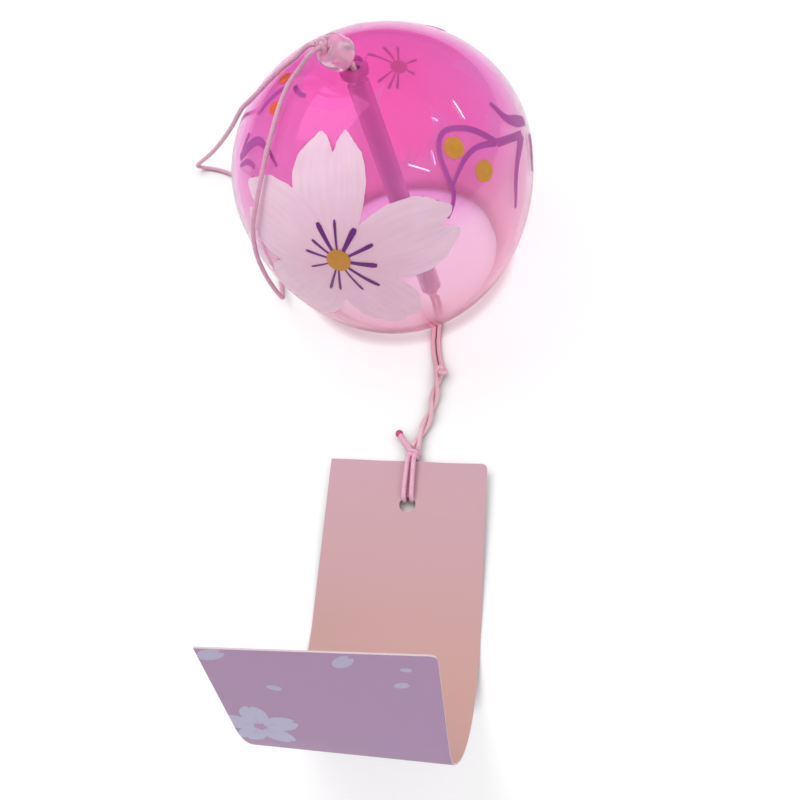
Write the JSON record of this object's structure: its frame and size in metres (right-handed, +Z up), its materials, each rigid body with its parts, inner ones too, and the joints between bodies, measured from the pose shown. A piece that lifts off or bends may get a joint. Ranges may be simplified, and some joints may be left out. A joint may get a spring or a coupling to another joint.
{
  "type": "furin wind bell",
  "caption": "Painted glass wind bell standing on its mouth, with a clear bead, a hanging loop, a glass tube clapper inside and a curled paper strip tied to its string",
  "frame": {"origin": "on the table, under the middle of bell and strip together", "axes": "+Y away from the strip, from the strip's curl to the back of the bell; +X to the right; +Z up"},
  "size_m": [0.1133, 0.1926, 0.0816],
  "materials": {
    "bell_glass": "clear blown glass, tinted hot pink at the crown and paler towards the mouth, painted inside",
    "bead_glass": "clear polished bead",
    "clapper_glass": "clear drawn tube",
    "cord": "soft braided pink string with a sheen",
    "stopper": "small smooth washer",
    "paper": "card printed pale pink on its face and lilac with flowers on its back"
  },
  "bodies": {
    "bell": {"glass_bell": "bell_glass", "inner_stopper": "stopper", "crown_cord": "cord", "rim_cord": "cord"},
    "bead": {"crown_bead": "bead_glass"},
    "loop": {"hanging_loop": "cord", "loop_knot": "cord"},
    "hanger": {"inner_knot": "cord", "inner_tail_lower": "cord", "inner_tail_upper": "cord"},
    "clapper": {"clapper_cord": "cord", "clapper_end_knot": "cord"},
    "tube": {"clapper_tube": "clapper_glass"},
    "tail": {"tail_cord": "cord", "mid_knot": "cord", "lower_cord": "cord", "tie_knot": "cord"},
    "tie": {"tie_loop": "cord"},
    "strip": {"tanzaku": "paper"}
  },
  "joints": [
    {"name": "bead_turn", "type": "hinge", "parent": "bell", "child": "bead", "pos_m": [-0.00297, 0.05472, 0.07643], "axis": [-0.5567, -0.3214, 0.766], "continuous": true},
    {"name": "loop_lift", "type": "hinge", "parent": "bell", "child": "loop", "pos_m": [-0.00552, 0.05325, 0.07993], "axis": [0, 1, 0], "range_deg": [0, 120]},
    {"name": "clapper_turn", "type": "hinge", "parent": "bell", "child": "hanger", "pos_m": [-0.00028, 0.05597, 0.06616], "axis": [-0.0097, 0.024, 0.9997], "range_deg": [-90, 90], "deforming": ["inner_tail_lower"]},
    {"name": "clapper_swing", "type": "hinge", "parent": "hanger", "child": "clapper", "pos_m": [-0.00028, 0.05597, 0.06616], "axis": [-0.8825, -0.4703, 0], "range_deg": [-46.9, 8.7], "deforming": ["inner_tail_upper"]},
    {"name": "tube_spin", "type": "hinge", "parent": "clapper", "child": "tube", "pos_m": [0.00469, 0.04665, 0.03808], "axis": [0.1655, -0.3106, -0.936], "continuous": true},
    {"name": "tail_turn", "type": "hinge", "parent": "bell", "child": "tail", "pos_m": [0.01086, 0.024, 0.00067], "axis": [0, 0, 1], "range_deg": [-20, 20]},
    {"name": "strip_lift", "type": "hinge", "parent": "tail", "child": "tie", "pos_m": [0.00766, -0.0122, 0.00202], "axis": [-1, 0, 0], "range_deg": [0, 60]},
    {"name": "strip_turn", "type": "hinge", "parent": "tie", "child": "strip", "pos_m": [0.00736, -0.0268, 0.00197], "axis": [0, -0.056, 0.9984], "range_deg": [-10, 10]}
  ]
}
